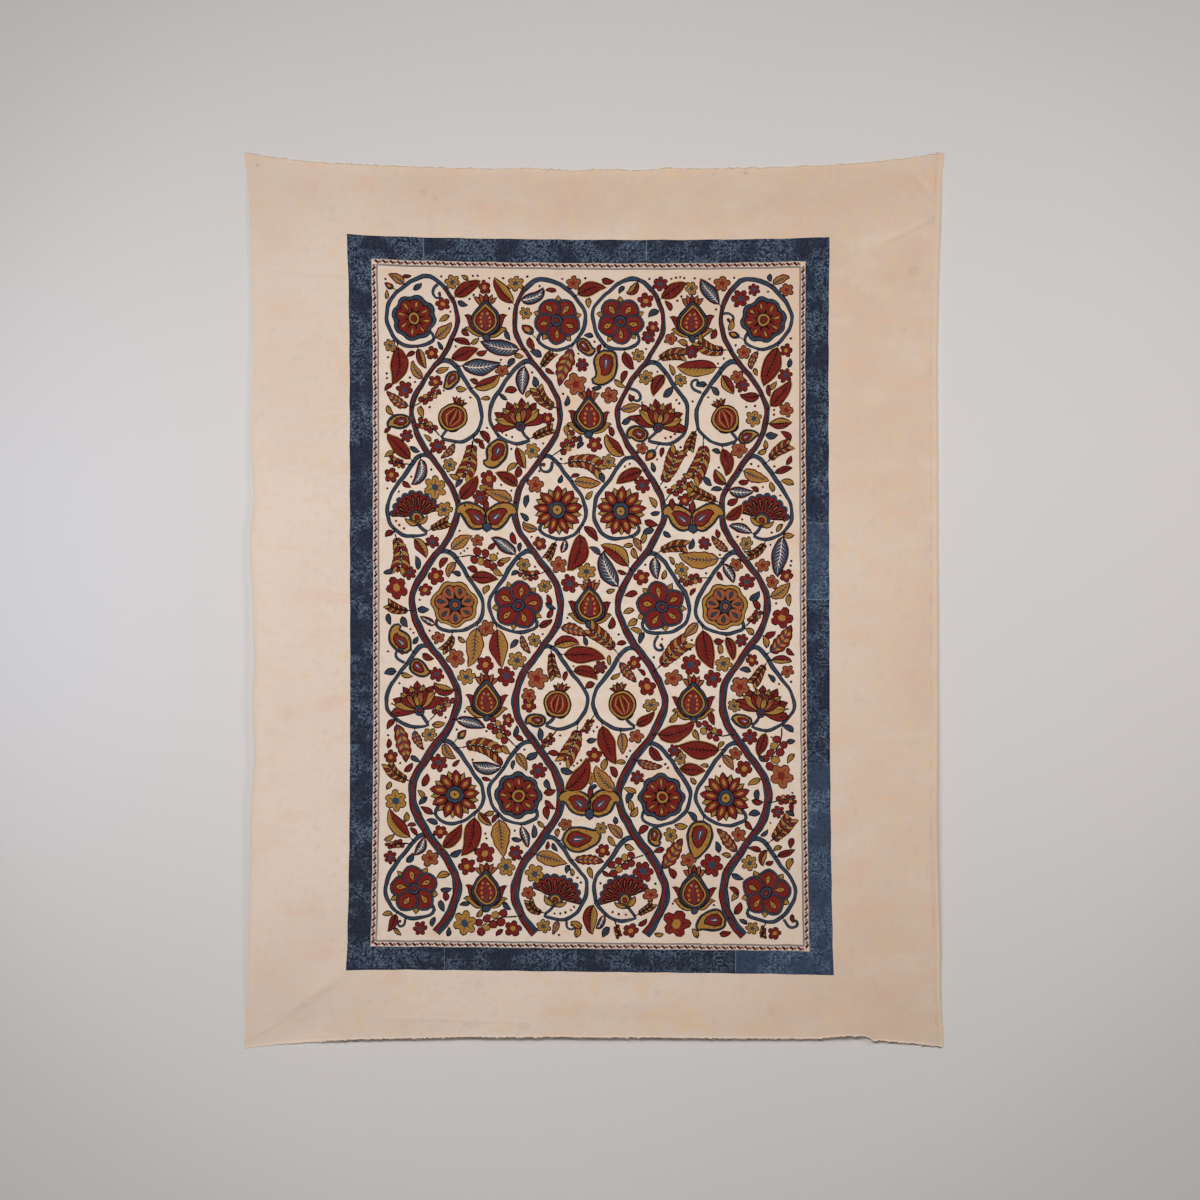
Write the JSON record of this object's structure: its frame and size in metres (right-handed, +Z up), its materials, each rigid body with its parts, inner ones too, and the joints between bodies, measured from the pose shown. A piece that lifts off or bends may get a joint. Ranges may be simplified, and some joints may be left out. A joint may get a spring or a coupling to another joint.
{
  "type": "printed cotton wall hanging",
  "caption": "Thin printed cotton panel hung flat by its corners, with an indigo border round a flowered field.",
  "frame": {"origin": "middle of the cloth's top edge, at the wall", "axes": "+X to the right as one faces the print, +Y into the wall, +Z up"},
  "size_m": [1.12, 0.0103, 1.4355],
  "materials": {
    "printed_cotton": "matt plain-weave cotton with an indigo, madder, mustard and black print"
  },
  "bodies": {
    "root": {"cloth": "printed_cotton"}
  },
  "joints": []
}
